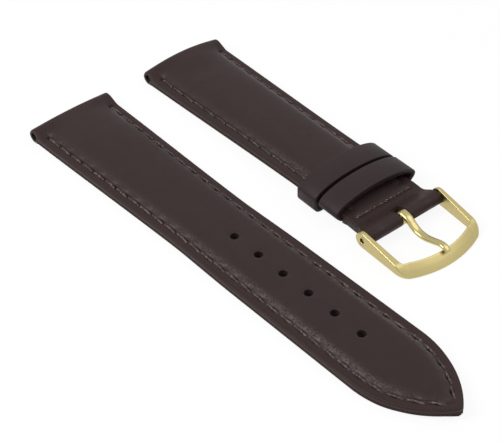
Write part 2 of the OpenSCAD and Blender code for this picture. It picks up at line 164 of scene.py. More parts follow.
# Long piece
# The half of the strap with the holes: calf leather over felt padding on a lining, glued, cut and
# sewn along both edges with waxed thread. Its lug end is folded round to make an eye.
lug_w, end_w = 20.0, 17.6
taper_len, taper_straight, taper_eased = 50.0, 0.6, 0.4
long_len, tip_len, tip_blunt = 115.0, 18.0, 0.4
upper_t, lining_t, edge_round, under_round = 0.9, 1.0, 0.35, 0.35
eye_d, eye_run, eye_bore_r = 3.0, 3.6, 0.9
eye_r = eye_d / 2
crown_lug, crown_mid, crown_tip, crown_rise, crown_end_run = 2.0, 1.2, 0.8, 12.0, 5.0
stitch_in, stitch_pitch, stitch_len, thread_d = 1.7, 3.7, 3.3, 0.45
thread_r, foot_gap, least_foot = thread_d / 2, 0.1, 0.3
foot_in = stitch_in + thread_r + foot_gap
edge_t = upper_t + lining_t
hole_first, hole_pitch, hole_n, hole_r = 55.6, 7.0, 6, 0.9
short_len, lay_shift, pair_gap, lay_turn = 73.2, 0.95, 30.8, math.radians(2.3)
keeper_room, band_t = 0.6, 1.25
tip_x = long_len - tip_len
tip_r = tip_len / math.sin(2 * math.atan(end_w / 2 / tip_len))
tip_core = tip_r - end_w / 2
tip_half = math.sqrt(tip_r ** 2 - (tip_len - tip_blunt) ** 2) - tip_core
crown_end_x = tip_x + math.sqrt((tip_r - foot_in) ** 2 - tip_core ** 2)
tip_lift, curl_from, tip_thin, tip_thin_run = 1.3, 102.0, 0.6, 10.0
flange_spread, spread_from, spread_run = 0.28, 45.0, 20.0
row_start, lining_from = 4.8, 2.05
long_arch, short_arch, arch_run = 0.5, 1.25, 10.0
first_x = eye_r * (1 - math.cos(math.radians(15)))
pair_x = (first_x + lay_shift + (long_len - tip_blunt) * math.cos(lay_turn)
          + tip_half * math.sin(lay_turn)) / 2
keeper_side = end_w / 2 + keeper_room + band_t
pair_y = (-pair_gap - lug_w / 2 * math.cos(lay_turn) + keeper_side) / 2
lay_short = Matrix.Translation((-pair_x, -pair_y, 0))
lay_long = (Matrix.Translation((lay_shift - pair_x, -pair_gap - pair_y, 0))
            @ Matrix.Rotation(lay_turn, 4, "Z"))


def ease(t):
    t = min(1.0, max(0.0, t))
    return t * t * (3 - 2 * t)


def mix(a, b, t):
    return a + (b - a) * t


def bell(t):
    """1 at 0, falling away to both sides."""
    return math.exp(-t ** 2)


def steps(a, b, gap):
    """Even stations from a to b, about gap apart, without the last."""
    n = max(1, round((b - a) / gap))
    return [mix(a, b, i / n) for i in range(n)]


def turns(n):
    """The angles of n even steps round a circle."""
    return [2 * math.pi * k / n for k in range(n)]


def side_w(x):
    """Half width of the leather at a distance from the lug end, up to the tip."""
    t = min(1.0, x / taper_len)
    return mix(lug_w, end_w, taper_straight * t + taper_eased * ease(t)) / 2


def arc_w(x, inset):
    return math.sqrt(max(0.0, (tip_r - inset) ** 2 - (x - tip_x) ** 2)) - tip_core


def long_w(x):
    """Half width of the long piece, whose flange spreads a little before the tip."""
    spread = ease((x - spread_from) / spread_run) * (1 - ease((x - tip_x) / tip_len))
    return flange_spread * spread + (side_w(x) if x < tip_x else arc_w(x, 0))


def long_foot(x):
    return max(least_foot, side_w(x) - foot_in if x < tip_x else arc_w(x, foot_in))


def short_foot(x):
    return side_w(x) - foot_in


def eye_h(x):
    return math.sqrt(max(0.0, eye_r ** 2 - (x - eye_r) ** 2))


def edge_z(x):
    """Height of the leather's edge above its underside."""
    return eye_r + eye_h(x) if x < eye_r else mix(eye_d, edge_t, ease((x - eye_r) / eye_run))


def under_z(x):
    """Underside of the upper leather: the eye's round, then the glue line on the lining."""
    if x >= eye_d:
        return lining_t
    return min(eye_r if x < eye_r else lining_t, eye_r - eye_h(x))


def crown_from_eye(x, tall):
    """Height of the padding over the edge: behind the eye it swells to its full height."""
    if x < eye_r:
        return 0.0
    return max(0.0, mix(eye_d, edge_t + tall, ease((x - eye_r) / crown_rise)) - edge_z(x))


def nose_arch(x, y, half, arch):
    """The lug end's own arch across the strap, fullest over the eye."""
    round_off = eye_h(x) / eye_r if x < eye_r else 1 - ease((x - eye_r) / arch_run)
    return arch * round_off * max(0.0, 1 - (y / half) ** 2)


def long_crown(x):
    tall = (mix(crown_lug, crown_mid, x / taper_len) if x < taper_len
            else mix(crown_mid, crown_tip, (x - taper_len) / (long_len - taper_len)))
    return crown_from_eye(x, tall) * ease((crown_end_x - x) / crown_end_run)


def tip_curl(x):
    """The unheld tip springs a little off the table."""
    return tip_lift * max(0.0, (x - curl_from) / (long_len - curl_from)) ** 2


flat_from, flat_run = 2.0, 8.0
arch_power, arch_root, flat_power, flat_root = 2.8, 0.9, 3.2, 0.68


def bulge(share, x):
    """The padding's rise across the strap: a plain arch by the lug end, then a flat top with round
    shoulders."""
    t = ease((x - flat_from) / flat_run)
    power, root = mix(arch_power, flat_power, t), mix(arch_root, flat_root, t)
    return max(0.0, 1 - abs(share) ** power) ** root


def row_place(x, y):
    """Distance along the stitch row and distance inside it, for a point of the leather."""
    if x < tip_x:
        return x, side_w(x) - stitch_in - abs(y)
    dx, dy = x - tip_x, abs(y) + tip_core
    row_r = tip_r - stitch_in
    return tip_x + row_r * math.atan2(dx, dy), row_r - math.hypot(dx, dy)


row_fall, row_lead = 0.3, 1.2
row_dip, crease_dip = 0.12, 0.06
notch_dip, notch_in, notch_reach, notch_run = 0.2, 0.25, 0.5, 0.55
puff_rise, puff_in, puff_run = 0.2, 0.4, 0.38
dish_dip, dish_r, dish_run = 0.22, 0.85, 0.65


def row_pull(x, y, tight):
    """How far the thread pulls the leather down at a point: most at each needle hole, where it also
    notches the padding's shoulder if it is drawn tight."""
    along, inside = row_place(x, y)
    if along < row_start - row_lead:
        return 0.0
    near = bell(inside / row_fall)
    turn = (along - row_start) / stitch_pitch
    wave = math.cos(turn * 2 * math.pi)
    from_hole = abs(turn - round(turn)) * stitch_pitch
    notch = bell(from_hole / notch_run) * bell((inside - notch_in) / notch_reach)
    puff = bell((inside - puff_in) / puff_run) * (0.5 - 0.5 * wave)
    pull = near * (row_dip + crease_dip * wave)
    pull += tight * notch_dip * notch * (1.0 if inside > -notch_in else near)
    if along > row_start:
        pull -= tight * puff_rise * puff
    return ease(along - row_start + row_lead) * pull


def hole_dish(x, y):
    """The small dish that the punch leaves round each tongue hole."""
    nearest = min(range(hole_n), key=lambda i: abs(x - hole_first - i * hole_pitch))
    away = math.hypot(x - hole_first - nearest * hole_pitch, y)
    return dish_dip * (1 - ease((away - dish_r) / dish_run))


def ring_mesh(name, rings, place, hoop=False):
    """A skin through rings of points: with an end face at each end, or joined up as a hoop."""
    n, m = len(rings[0]), len(rings)
    faces = []
    for i in range(m if hoop else m - 1):
        here, there = i * n, (i + 1) % m * n
        faces += [(here + j, here + (j + 1) % n, there + (j + 1) % n, there + j) for j in range(n)]
    if not hoop:
        faces += [tuple(range(n))[::-1], tuple(range((m - 1) * n, m * n))]
    mesh = bpy.data.meshes.new(name)
    mesh.from_pydata([place @ Vector(p) * MM for ring in rings for p in ring], [], faces)
    return mesh


def smooth_piece(name, mesh, material):
    """Splits the end faces, turns all faces outwards, and shows the piece in its material."""
    bm = bmesh.new()
    bm.from_mesh(mesh)
    bmesh.ops.triangulate(bm, faces=[f for f in bm.faces if len(f.verts) > 4])
    bmesh.ops.recalc_face_normals(bm, faces=bm.faces)
    bm.to_mesh(mesh)
    bm.free()
    mesh.shade_smooth()
    mesh.materials.append(material)
    return shown(name, mesh)


def leather_piece(name, sections, place, material, hoop=False):
    """A closed skin through sections, with a map of where each point lies by its stitch row."""
    rings, maps = zip(*sections)
    mesh = ring_mesh(name, rings, place, hoop)
    layer = mesh.uv_layers.new(name="row")
    flat = [uv for ring in maps for uv in ring]
    for loop in mesh.loops:
        layer.data[loop.index].uv = flat[loop.vertex_index]
    mesh.validate()
    return smooth_piece(name, mesh, material)


def row_map(ring):
    """Where each point lies by its stitch row: how many stitches along, and millimetres inside."""
    placed = [row_place(x, y) for x, y, _ in ring]
    return [(along / stitch_pitch, inside) for along, inside in placed]


nick, face_clear = 0.015, 0.1
cut_angles = (0.0, 0.4, 0.8, 1.2)
flange_shares = (0.0, 0.2, 0.4, 0.55, 0.65, 0.75, 0.85, 0.93)
across_n, shoulder_n = 20, 15


def upper_section(x, half, foot, top, crown, low, tight=0.0, arch=0.0, long_piece=False):
    """Points of the padded upper at one station, from its left edge over the crown to its right edge
    and back underneath."""
    e = min(edge_round, half / 4, (top - low) / 2)
    left = [(-half + nick, low), (-half, low + nick)]
    left += [(-half + e - e * math.cos(a), top - e + e * math.sin(a)) for a in cut_angles]
    left += [(-mix(half - e, foot, t), top) for t in flange_shares]
    across = [-foot * math.sin(math.pi / 2 * (1 - i / across_n)) for i in range(shoulder_n)]
    across += [mix(across[-1], 0, i / (shoulder_n - 1)) for i in range(1, shoulder_n)]
    left += [(y, top + crown * bulge(y / foot, x)) for y in across]
    points = left + [(-y, z) for y, z in reversed(left[:-1])]
    points += [(mix(half, -half, t), low) for t in (0.25, 0.5, 0.75)]
    ring = []
    for y, z in points:
        on_face, on_top = z > low + face_clear, z > (top + low) / 2
        if on_face and tight:
            z -= row_pull(x, y, tight)
        if on_face and long_piece:
            z -= hole_dish(x, y)
        if on_top:
            z += nose_arch(x, y, half, arch)
        if long_piece:
            z += tip_curl(x)
        ring.append((x, y, z))
    return ring, row_map(ring)


groove, groove_half, groove_offsets = 0.25, 0.35, (-0.4, -0.3, 0.0, 0.3, 0.4)
least_row = 1.0


def lining_section(x, half, low):
    """Points of the lining at one station, with its painted edge rounded and a shallow row
    underneath."""
    top = lining_t if x >= eye_d else under_z(x) - 0.01
    thin = under_round + tip_thin * ease((x - curl_from) / tip_thin_run)
    e = min(thin, half / 4, top * 0.6)
    left = [(-half + nick, top), (-half, top - nick), (-half, e)]
    left += [(-half + e - e * math.cos(a), e - e * math.sin(a))
             for a in (0.3, 0.6, 0.9, 1.2, math.pi / 2)]
    row = half - stitch_in
    for offset in groove_offsets:
        y = -(row - offset)
        if row <= least_row:
            y = -max(0.02, half - e) * mix(0.9, 0.4, (offset + 0.4) / 0.8)
        left.append((y, min(groove, top / 4) if abs(offset) < groove_half else 0.0))
    left += [(-row * t if row > least_row else -half * 0.1 * t, 0.0) for t in (0.85, 0.6, 0.3, 0.1)]
    points = left + [(-y, z) for y, z in reversed(left)]
    ring = [(x, y, z + low) for y, z in points]
    return ring, row_map(ring)


def built(name, bm, material):
    """The shape as an object in this material, which a cutter leaves on the walls."""
    mesh = bpy.data.meshes.new(name)
    bm.to_mesh(mesh)
    bm.free()
    mesh.materials.append(material)
    return shown(name, mesh)


def round_cutter(name, spots, radius, length, sides, wall):
    bm = bmesh.new()
    for spot in spots:
        bar = bmesh.ops.create_cone(bm, cap_ends=True, segments=sides, radius1=radius,
                                    radius2=radius, depth=length)
        bmesh.ops.transform(bm, verts=bar["verts"], matrix=spot)
    bmesh.ops.scale(bm, verts=bm.verts, vec=(MM, MM, MM))
    return built(name, bm, wall)


punch_over, punch_turn, punch_sides, bore_sides = 1.0, 0.061, 40, 48


def punch_cutter(name, top):
    """The tongue holes' punches, turned so that none of their corners meets the leather's lines."""
    spots = [lay_long @ Matrix.Translation((hole_first + i * hole_pitch, 0.0, (top - punch_over) / 2))
             @ Matrix.Rotation(punch_turn, 4, "Z") for i in range(hole_n)]
    return round_cutter(name, spots, hole_r, top + punch_over, punch_sides, painted_hole_shade)


def bore_cutter(name, length, radius, centre, place, wall):
    """A round bar across the strap, to cut an eye or a loop."""
    lay = place @ Matrix.Translation(centre) @ Matrix.Rotation(math.pi / 2, 4, "X")
    return round_cutter(name, [lay], radius, length, bore_sides, wall)


def settle(piece):
    """Applies the piece's modifiers."""
    bpy.context.view_layer.update()
    depsgraph = bpy.context.evaluated_depsgraph_get()
    shape = bpy.data.meshes.new_from_object(piece.evaluated_get(depsgraph))
    piece.modifiers.clear()
    piece.data = shape


def cut(piece, *cutters, operation="DIFFERENCE"):
    """Takes the cutters out of the piece, or joins them to it, and leaves it a plain mesh."""
    for cutter in cutters:
        step = piece.modifiers.new("cut", "BOOLEAN")
        step.operation = operation
        step.solver = "EXACT"
        step.material_mode = "TRANSFER"
        step.object = cutter
    settle(piece)
    for cutter in cutters:
        bpy.data.objects.remove(cutter)


def noise(tree, vector, scale, detail=2.0):
    inputs = {"Vector": vector, "Scale": scale, "Detail": detail}
    return add_node(tree, "ShaderNodeTexNoise", inputs).outputs["Fac"]


def blend(tree, factor, a, b, how="MIX"):
    """A colour that goes from a to b with the factor."""
    a, b = [c if isinstance(c, bpy.types.NodeSocket) else (*c, 1.0) for c in (a, b)]
    inputs = {"Factor": factor, "A": a, "B": b}
    node = add_node(tree, "ShaderNodeMix", inputs, data_type="RGBA", blend_type=how)
    return node.outputs["Result"]


def spread(tree, value, low, high, start=0.0, end=1.0):
    """A value that goes from low to high while the given one goes from start to end."""
    inputs = {"Value": value, "From Min": start, "From Max": end, "To Min": low, "To Max": high}
    return add_node(tree, "ShaderNodeMapRange", inputs).outputs["Result"]


def relief(tree, height, strength, distance):
    inputs = {"Strength": strength, "Distance": distance, "Height": height}
    return add_node(tree, "ShaderNodeBump", inputs).outputs["Normal"]


def hump(tree, value, width):
    """1 where the value is 0, falling away over this width."""
    square = calc(tree, "POWER", calc(tree, "DIVIDE", value, width), 2.0)
    return calc(tree, "POWER", 2.718, calc(tree, "MULTIPLY", square, -1.0))


cloud_scale, fold_scale, fleck_scale, pore_scale = 260.0, 700.0, 2600.0, 3800.0
crease_w, between_holes, hole_mark, first_hole_r = 0.26, 0.25, 0.1, 0.44
painted_crease_shade, painted_sheen_grey, edge_paint = (0.004, 0.002, 0.002), (0.15, 0.12, 0.12), (0.033, 0.018, 0.0155)
flange_tone, flange_from, edge_reach = (1.02, 0.97, 0.95), -0.3, 0.3
sheen_in, sheen_w, sheen_gloss, fleck_gain, fleck_cut = 0.85, 0.68, 0.14, 2.4, 0.85
sheen_from, sheen_full, sheen_least = 6.0, 24.0, 0.12
tip_fade_from, tip_fade_full, tip_fade_least = 26.5, 29.5, 0.15
pore_depth, fold_depth, crease_depth, grain_high = 0.5, 0.7, 3.0, 0.00006


def leather_material(name, tint, dark, rough, grain=1.0):
    """Smooth calf with a fine grain. By the stitches, the crease and the needle holes are darkened as
    painted shade, and a paler band along the padding's shoulder is painted on as its sheen."""
    mat, tree, shader, place = node_material(name)
    tone = blend(tree, noise(tree, place, cloud_scale, 3.0), dark, tint)
    row = add_node(tree, "ShaderNodeUVMap", {}, uv_map="row").outputs["UV"]
    row = add_node(tree, "ShaderNodeSeparateXYZ", {"Vector": row}).outputs
    stitches, inside = row["X"], row["Y"]
    do, both = partial(calc, tree), partial(calc, tree, "MULTIPLY")

    # Painted shade: the crease along the row, each needle hole and the first hole are darkened towards
    # black.
    phase = do("FRACT", do("ADD", stitches, 1000.5 - row_start / stitch_pitch))
    to_hole = do("ABSOLUTE", do("SUBTRACT", phase, 0.5))
    hole_near = hump(tree, to_hole, hole_mark)
    past_start = do("GREATER_THAN", stitches, (row_start - 0.4) / stitch_pitch)
    depth = do("ADD", both(hole_near, 1 - between_holes), between_holes)
    crease = both(both(hump(tree, inside, crease_w), depth), past_start)
    from_first = both(do("SUBTRACT", stitches, (row_start - 0.1) / stitch_pitch), stitch_pitch)
    squares = [do("POWER", do("ABSOLUTE", v), 2.0) for v in (from_first, inside)]
    from_first = do("SQRT", do("ADD", *squares))
    crease = do("MAXIMUM", crease, do("LESS_THAN", from_first, first_hole_r))
    colour = blend(tree, crease, tone, painted_crease_shade)

    # Painted sheen: a paler, grainy band just inside the row along the padding's shoulder, weak by the
    # lug end, strongest before the tip and fading at it. The band also lowers the roughness there.
    sheen_band = hump(tree, do("SUBTRACT", inside, sheen_in), sheen_w)
    sheen_flecks = both(noise(tree, place, fleck_scale), fleck_gain)
    sheen_flecks = do("SUBTRACT", sheen_flecks, fleck_cut, clamp=True)
    painted_sheen = both(both(sheen_band, sheen_flecks), past_start)
    painted_sheen = both(painted_sheen, spread(tree, stitches, sheen_least, 1.0, sheen_from, sheen_full))
    painted_sheen = both(painted_sheen, spread(tree, stitches, 1.0, tip_fade_least, tip_fade_from, tip_fade_full))
    colour = blend(tree, painted_sheen, colour, painted_sheen_grey)
    flange = do("LESS_THAN", inside, flange_from)
    colour = blend(tree, flange, colour, flange_tone, "MULTIPLY")
    edge = do("LESS_THAN", inside, edge_reach - stitch_in)
    colour = blend(tree, edge, colour, edge_paint)

    pores = add_node(tree, "ShaderNodeTexVoronoi", {"Vector": place, "Scale": pore_scale})
    folds = noise(tree, place, fold_scale, 4.0)
    pores = both(pores.outputs["Distance"], pore_depth)
    height = do("ADD", pores, both(folds, fold_depth))
    height = do("SUBTRACT", height, both(crease, crease_depth))
    matt = spread(tree, folds, rough - 0.05, rough + 0.08)
    wire(tree, shader, {"Base Color": colour, "Normal": relief(tree, height, 0.55 * grain, grain_high),
                        "Roughness": do("SUBTRACT", matt, both(sheen_band, sheen_gloss)),
                        "Specular IOR Level": 0.2})
    return mat


calf = leather_material("dark_brown_calf", (0.042, 0.024, 0.0235), (0.031, 0.0175, 0.017), 0.5)
lining_calf = leather_material("lining_calf", (0.16, 0.085, 0.05), (0.12, 0.065, 0.04), 0.7, 1.6)
# Walls of the punched tongue holes and the bores: a little darker than the calf, as painted shade
# inside the holes over the raw fibre's own tone.
painted_hole_shade = leather_material("punched_edge_painted_shade", (0.032, 0.02, 0.018), (0.02, 0.012, 0.011), 0.8, 1.5)

nose_end, body_gap, tip_n = 8.0, 0.3, 56
eye_xs = [first_x * 0.1, first_x * 0.5] + steps(first_x, eye_d, 0.16)
eye_xs += steps(eye_d, nose_end, 0.25)
tip_turns = [math.radians(90 * i / tip_n) for i in range(tip_n + 1)]
long_xs = eye_xs + steps(nose_end, tip_x, body_gap)
long_xs += [tip_x + (tip_len - tip_blunt) * math.sin(a) for a in tip_turns]
sections = [upper_section(x, long_w(x), long_foot(x), edge_z(x), long_crown(x), under_z(x), 1.0,
                          long_arch, True) for x in long_xs]
long_upper = leather_piece("long_upper_leather", sections, lay_long, calf)
eye_middle = (eye_r, 0, eye_r)
cut(long_upper, punch_cutter("punch_upper", edge_t + crown_lug + 1),
    bore_cutter("bore_long", lug_w + 2, eye_bore_r, eye_middle, lay_long, painted_hole_shade))
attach(long_upper, "strap")
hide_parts("long_upper", "long_filler")

sections = [lining_section(x, long_w(x), tip_curl(x)) for x in long_xs if x > lining_from]
long_lining = leather_piece("long_lining_leather", sections, lay_long, lining_calf)
cut(long_lining, punch_cutter("punch_lining", edge_t + 1))
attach(long_lining, "strap")
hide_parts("long_lining")


def stitch_tree():
    """Geometry nodes that lay one sewn thread after another along a row."""
    tree = bpy.data.node_groups.new("sewn_row", "GeometryNodeTree")
    for name, kind in (("Geometry", "Geometry"), ("Pitch", "Float"), ("Stitch length", "Float"),
                       ("Thread radius", "Float"), ("Dive", "Float"), ("Slant", "Float"),
                       ("Seed", "Int"), ("Thread", "Material")):
        tree.interface.new_socket(name, in_out="INPUT", socket_type="NodeSocket" + kind)
    tree.interface.new_socket("Geometry", in_out="OUTPUT", socket_type="NodeSocketGeometry")
    given = tree.nodes.new("NodeGroupInput").outputs
    times = partial(calc, tree, "MULTIPLY")

    def node(kind, inputs, output, **settings):
        return add_node(tree, kind, inputs, **settings).outputs[output]

    def vector(**parts):
        return node("ShaderNodeCombineXYZ", parts, "Vector")

    row = node("GeometryNodeMeshToCurve", {"Mesh": given["Geometry"]}, "Curve")
    row = node("GeometryNodeResampleCurve", {"Curve": row, "Length": given["Pitch"]}, "Curve",
               mode="LENGTH")
    points = add_node(tree, "GeometryNodeCurveToPoints", {"Curve": row}, mode="EVALUATED").outputs
    half, inner = times(given["Stitch length"], 0.5), times(given["Stitch length"], 0.36)
    down, rise = times(given["Dive"], -1.0), times(given["Dive"], 0.35)
    line = node("GeometryNodeCurvePrimitiveBezierSegment",
                {"Resolution": 12, "Start": vector(X=times(half, -1.0), Z=down),
                 "Start Handle": vector(X=times(inner, -1.0), Z=rise),
                 "End Handle": vector(X=inner, Z=rise), "End": vector(X=half, Z=down)},
                "Curve", mode="POSITION")
    ring = node("GeometryNodeCurvePrimitiveCircle",
                {"Resolution": 10, "Radius": given["Thread radius"]}, "Curve", mode="RADIUS")
    tube = node("GeometryNodeCurveToMesh",
                {"Curve": line, "Profile Curve": ring, "Fill Caps": True}, "Mesh")
    tube = node("GeometryNodeSetShadeSmooth", {"Geometry": tube}, "Geometry")
    aim = node("FunctionNodeAlignRotationToVector", {"Vector": points["Tangent"]}, "Rotation",
               axis="X", pivot_axis="AUTO")
    laid = node("GeometryNodeInstanceOnPoints",
                {"Points": points["Points"], "Instance": tube, "Rotation": aim}, "Instances")
    wobble = node("FunctionNodeRandomValue", {"Min": -0.05, "Max": 0.05, "Seed": given["Seed"]},
                  "Value", data_type="FLOAT")
    swing = vector(Z=calc(tree, "ADD", wobble, given["Slant"]))
    laid = node("GeometryNodeRotateInstances", {"Instances": laid, "Rotation": swing}, "Instances")
    whole = node("GeometryNodeRealizeInstances", {"Geometry": laid}, "Geometry")
    whole = node("GeometryNodeSetMaterial", {"Geometry": whole, "Material": given["Thread"]},
                 "Geometry")
    add_node(tree, "NodeGroupOutput", {"Geometry": whole})
    return tree


sewn_row = stitch_tree()


def sew(name, rows, place, pitch, length, radius, dive, slant, seed, thread):
    """Stitches along each row of points, as one plain mesh. A row starts at the middle of its first
    stitch."""
    bm = bmesh.new()
    for index, row in enumerate(rows):
        line = bpy.data.meshes.new(name + "_line")
        line.from_pydata([place @ Vector(p) * MM for p in row],
                         [(i, i + 1) for i in range(len(row) - 1)], [])
        guide = shown(name + "_line", line)
        modifier = guide.modifiers.new("sewn", "NODES")
        modifier.node_group = sewn_row
        values = {"Pitch": pitch * MM, "Stitch length": length * MM, "Thread radius": radius * MM,
                  "Dive": dive * MM, "Slant": slant * (1 if index % 2 else -1), "Seed": seed + index,
                  "Thread": thread}
        for item in sewn_row.interface.items_tree:
            if item.name in values:
                modifier[item.identifier] = values[item.name]
        settle(guide)
        bm.from_mesh(guide.data)
        bpy.data.objects.remove(guide)
    piece = built(name, bm, thread)
    piece.data.shade_smooth()
    return piece


def thread_material(name, tint, highlight_tint):
    """Waxed thread of a few twisted plies, with paler flecks painted in as highlights where light
    catches a fibre.
    """
    mat, tree, shader, place = node_material(name)
    plies = add_node(tree, "ShaderNodeTexWave", {"Vector": place, "Scale": 900.0, "Distortion": 1.5},
                     bands_direction="DIAGONAL").outputs["Fac"]
    share = spread(tree, noise(tree, place, 1500.0), 0.0, 1.0, 0.48, 0.66)
    wire(tree, shader, {"Base Color": blend(tree, share, tint, highlight_tint), "Roughness": 0.55,
                        "Normal": relief(tree, plies, 0.6, 0.0001)})
    return mat


thread_mat = thread_material("brown_thread", (0.042, 0.026, 0.024), (0.16, 0.118, 0.1))
row_r = tip_r - stitch_in
row_stop = 0.6
row_end = tip_x + row_r * math.acos((tip_core + row_stop) / row_r)
long_n = math.floor((row_end - row_start) / stitch_pitch)
long_pitch = (row_end - row_start) / long_n
needle_sink, bobbin_z = 0.04, 0.22
needle_r, short_needle_r, bobbin_r = thread_r * 1.1, thread_r * 0.9, thread_r * 0.85
needle_dive, bobbin_dive = 0.22, -0.12
needle_slant, bobbin_slant = 0.07, 0.04


def row_point(along, side):
    """Point of the stitch row at a distance along it."""
    if along < tip_x:
        return along, side * (side_w(along) - stitch_in)
    a = (along - tip_x) / row_r
    return tip_x + row_r * math.sin(a), side * (row_r * math.cos(a) - tip_core)


def long_row(side, z, arch):
    first, last = row_start + long_pitch / 2, row_end - long_pitch / 2
    places = [row_point(mix(first, last, i / 300), side) for i in range(301)]
    return [(x, y, z + tip_curl(x) + nose_arch(x, y, side_w(x), arch)) for x, y in places]


long_thread = sew("long_needle_stitches",
                  [long_row(side, edge_t - needle_sink, long_arch) for side in (-1, 1)],
                  lay_long, long_pitch, stitch_len, needle_r, needle_dive, needle_slant, seed=3,
                  thread=thread_mat)
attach(long_thread, "strap")
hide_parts("long_needle_thread")
long_bobbin = sew("long_bobbin_stitches", [long_row(side, bobbin_z, 0.0) for side in (-1, 1)],
                  lay_long, long_pitch, stitch_len, bobbin_r, bobbin_dive, bobbin_slant, seed=11,
                  thread=thread_mat)
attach(long_bobbin, "strap")
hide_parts("long_bobbin_thread")

# Short piece
# The half with the buckle: the same make, but beyond the keepers its leather has no padding, is
# folded round the buckle's spring bar, and is held by a cross seam. A slot in the fold lets the
# tongue through.
keeper_len, keeper_gap, keeper_back = 5.4, 0.8, 10.4
fixed_x = short_len - keeper_back
free_x = fixed_x - keeper_len - keeper_gap
fixed_rear_x, fixed_front_x = fixed_x - keeper_len / 2, fixed_x + keeper_len / 2
seat_gap = 0.1
lift_slope = (band_t + seat_gap) / (free_x - eye_d)
lift_x = free_x + keeper_len / 2
lift_top, lift_end = lift_slope * (lift_x - eye_d), 0.8
bar_d, bar_z = 1.8, 2.6
loop_r, loop_bore_r, loop_run = 1.45, bar_d / 2 + seat_gap / 2, 4.2
flare, flare_from, flare_run = 0.75, short_len - 3.4, 2.2
slot_w, slot_back, slot_slope, slot_lean = 2.3, 2.45, 1.2, 1.9
seam_x, seam_pitch, seam_n = short_len - 5.7, 2.4, 6
seam_groove, seam_groove_w, seam_fade = 0.28, 0.45, 0.6
tail_shift, tail_run, tail_end, tail_end_run = 0.3, 1.5, short_len - 3.2, 2.0


def lift(x):
    """Height of the short piece's underside above the table: it rises over the free keeper."""
    if x < eye_d:
        return 0.0
    if x < lift_x:
        return lift_slope * (x - eye_d)
    return mix(lift_top, lift_end, ease((x - lift_x) / (short_len - loop_run / 2 - lift_x)))


keeper_fall, tail_fall = 0.45, 0.55


def short_crown(x):
    tall = mix(crown_lug, crown_mid, min(1.0, x / taper_len))
    fall = (keeper_fall * ease((x - free_x) / (fixed_x - free_x))
            + tail_fall * ease((x - fixed_x) / (seam_x - fixed_x)))
    return crown_from_eye(x, tall) * (1 - fall)


def fold_share(x):
    return ease((x - short_len + loop_run) / loop_run)


def fold_top(x):
    return mix(edge_t + lift(x), bar_z + loop_r, fold_share(x))


def fold_low(x):
    return mix(lift(x), bar_z - loop_r, fold_share(x))


def seam_dip(x, y):
    """The groove that the cross seam pulls into the fold."""
    reach = seam_n * seam_pitch / 2
    return seam_groove * bell((x - seam_x) / seam_groove_w) * ease(reach + seam_fade - abs(y))


def tail_bow(x):
    """The tail between the keepers and the loop lies a little to the far side."""
    return tail_shift * ease((x - fixed_front_x) / tail_run) * (1 - ease((x - tail_end) / tail_end_run))


def short_section(x):
    """The short upper at one station: padded, over the fixed keeper, or folded round the bar."""
    half, foot = side_w(x) + flare * ease((x - flare_from) / flare_run), short_foot(x)
    if x <= fixed_rear_x:
        return upper_section(x, half, foot, edge_z(x) + lift(x), short_crown(x), under_z(x) + lift(x),
                             0.5, short_arch)
    if x <= fixed_front_x:
        return upper_section(x, half, foot, edge_z(x) + lift(x), short_crown(x),
                             lift(fixed_x) + band_t + 0.01)
    if x < short_len:
        top, low = fold_top(x), fold_low(x)
    else:
        h = math.sqrt(max(0.0, loop_r ** 2 - (x - short_len) ** 2))
        top, low = bar_z + h, bar_z - h
    ring, uv = upper_section(x, half, foot, top, short_crown(x), low)
    ring = [(px, py + tail_bow(x), pz - (seam_dip(px, py) if pz > (top + low) / 2 else 0.0))
            for px, py, pz in ring]
    return ring, [(0.0, inside) for _, inside in uv]


loop_angles = (0, 8, 16, 24, 32, 40, 48, 56, 63, 70, 76, 81, 85)
wall_run, keeper_gap_x, fold_gap = 0.02, 0.4, 0.15
short_xs = eye_xs + steps(nose_end, fixed_rear_x, body_gap)
short_xs += [fixed_rear_x, fixed_rear_x + wall_run]
short_xs += steps(fixed_rear_x + keeper_gap_x, fixed_front_x, keeper_gap_x)
short_xs += [fixed_front_x, fixed_front_x + wall_run]
short_xs += steps(fixed_front_x + 0.2, short_len, fold_gap)
short_xs += [short_len + loop_r * math.sin(math.radians(a)) for a in loop_angles]
short_upper = leather_piece("short_upper_leather", [short_section(x) for x in short_xs], lay_short,
                            calf)


def outline_cutter(name, outline, width, place, wall):
    """A punch of this side outline across the strap's middle."""
    n = len(outline)
    bm = bmesh.new()
    corners = [bm.verts.new(place @ Vector((x, side * width / 2, z)) * MM)
               for side in (-1, 1) for x, z in outline]
    faces = [tuple(range(n)), tuple(range(n, 2 * n))]
    faces += [(i, (i + 1) % n, n + (i + 1) % n, n + i) for i in range(n)]
    for face in faces:
        bm.faces.new([corners[i] for i in face])
    bmesh.ops.recalc_face_normals(bm, faces=bm.faces)
    return built(name, bm, wall)


slot_rear, slot_front, slot_low, slot_high = short_len - slot_back, short_len + loop_r + 1, -1.0, 6.0
slot_outline = [(slot_rear, slot_low), (slot_front, slot_low), (slot_front, slot_high),
                (slot_rear - slot_lean, slot_high), (slot_rear - slot_slope, bar_z + loop_r + 0.2),
                (slot_rear, bar_z - 0.2)]
bar_middle = (short_len, 0, bar_z)
cut(short_upper, bore_cutter("bore_short", lug_w + 2, eye_bore_r, eye_middle, lay_short, painted_hole_shade),
    bore_cutter("bore_loop", end_w + 2, loop_bore_r, bar_middle, lay_short, painted_hole_shade),
    outline_cutter("slot", slot_outline, slot_w, lay_short, calf))
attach(short_upper, "strap")
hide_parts("short_upper", "short_filler")

sections = [lining_section(x, side_w(x), lift(x)) for x in short_xs
            if lining_from < x <= fixed_rear_x]
short_lining = leather_piece("short_lining_leather", sections, lay_short, lining_calf)
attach(short_lining, "strap")
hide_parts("short_lining")

short_n = math.floor((free_x - row_start) / stitch_pitch)


